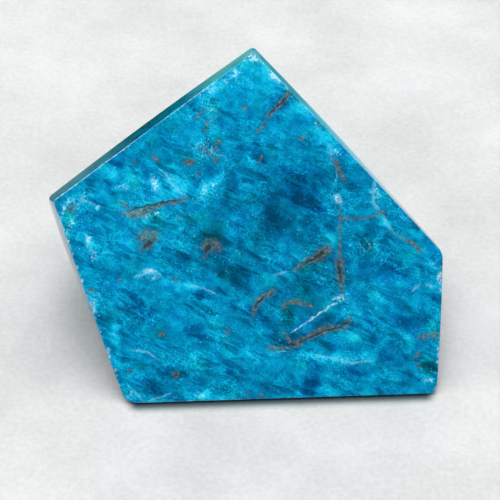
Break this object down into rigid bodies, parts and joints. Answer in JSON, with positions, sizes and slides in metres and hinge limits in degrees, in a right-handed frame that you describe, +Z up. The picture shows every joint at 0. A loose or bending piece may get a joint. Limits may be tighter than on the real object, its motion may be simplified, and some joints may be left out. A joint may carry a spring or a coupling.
{
  "type": "polished blue apatite",
  "caption": "Polished blue apatite display stone with brown veins: a thick slab with a flat pentagonal face, softly swelling sides and a flat cut base on which it leans back.",
  "frame": {"origin": "on the ground, under the middle of the stone's bounding box", "axes": "+Z up from the flat cut base, +X along the bottom edge of the front face to its right as seen from the front, -Y the side that the front face looks to, leaning back"},
  "size_m": [0.0914, 0.0708, 0.0673],
  "materials": {
    "polished_apatite": "natural stone, ground and polished to a gloss, mottled blue with brown and white veins"
  },
  "bodies": {
    "root": {"apatite_stone": "polished_apatite"}
  },
  "joints": []
}
